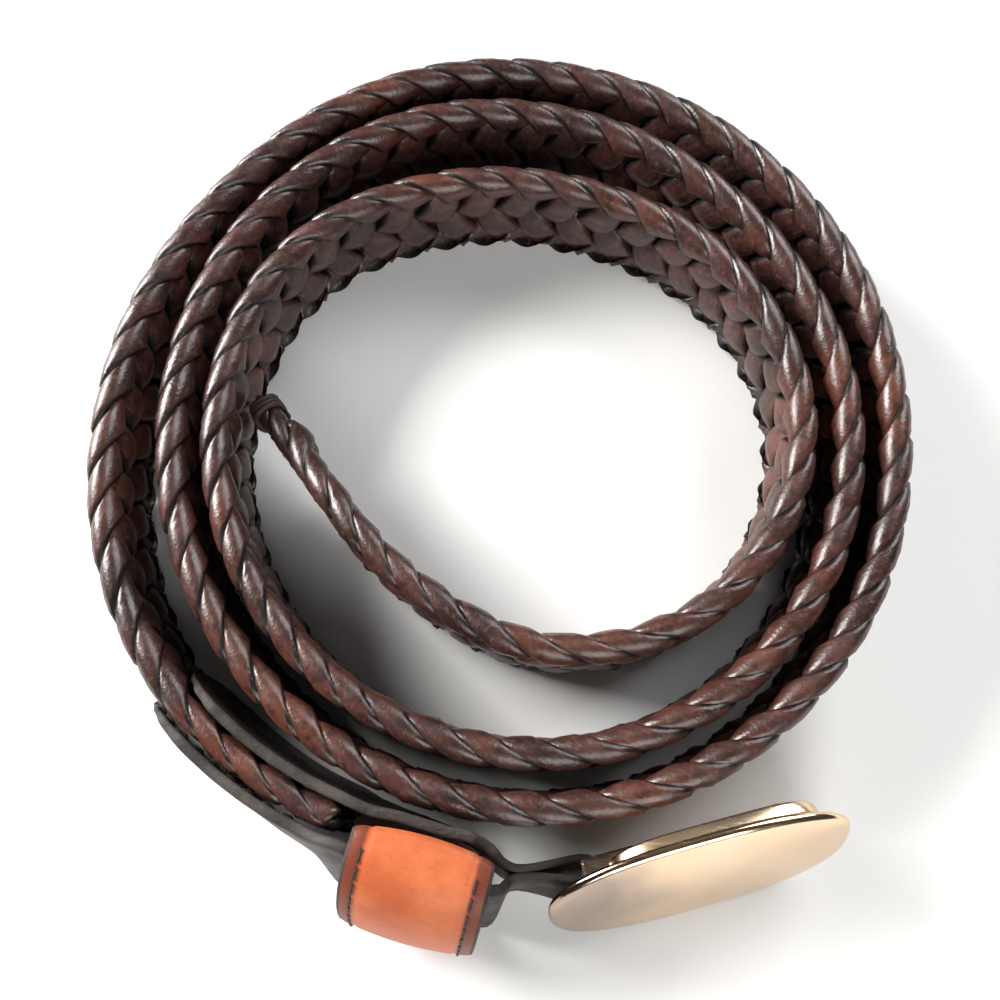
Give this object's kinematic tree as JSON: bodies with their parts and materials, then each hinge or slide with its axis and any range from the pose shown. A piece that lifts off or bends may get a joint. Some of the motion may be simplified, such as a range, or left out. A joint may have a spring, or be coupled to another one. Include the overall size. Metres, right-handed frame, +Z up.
{
  "type": "braided belt",
  "caption": "Flat plaited leather belt rolled up on its edge, with a folded leather end, a sliding leather keeper and an oval metal plaque buckle on a bar",
  "frame": {"origin": "middle of the footprint of the rolled belt, on the surface it lies on", "axes": "+Z up across the width of the belt, +Y away from the buckle's side of the coil, +X towards the free end of the buckle"},
  "size_m": [0.1314, 0.1488, 0.0258],
  "materials": {
    "braid_leather": "semi-gloss reddish brown, waxed",
    "binding_thread": "dark waxed thread",
    "chape_leather": "matte dark brown with grey-brown cut edges",
    "keeper_leather": "smooth orange tan with dark stitching",
    "buckle_metal": "polished pale gold plate"
  },
  "bodies": {
    "belt": {"braided_band": "braid_leather", "tip_binding": "binding_thread", "chape": "chape_leather", "keeper": "keeper_leather"},
    "buckle": {"buckle": "buckle_metal"}
  },
  "joints": [
    {"name": "buckle_hinge", "type": "hinge", "parent": "belt", "child": "buckle", "pos_m": [0.01302, -0.06399, 0.01026], "axis": [-0.1175, 0.4545, 0.8829], "range_deg": [-20, 1]}
  ]
}
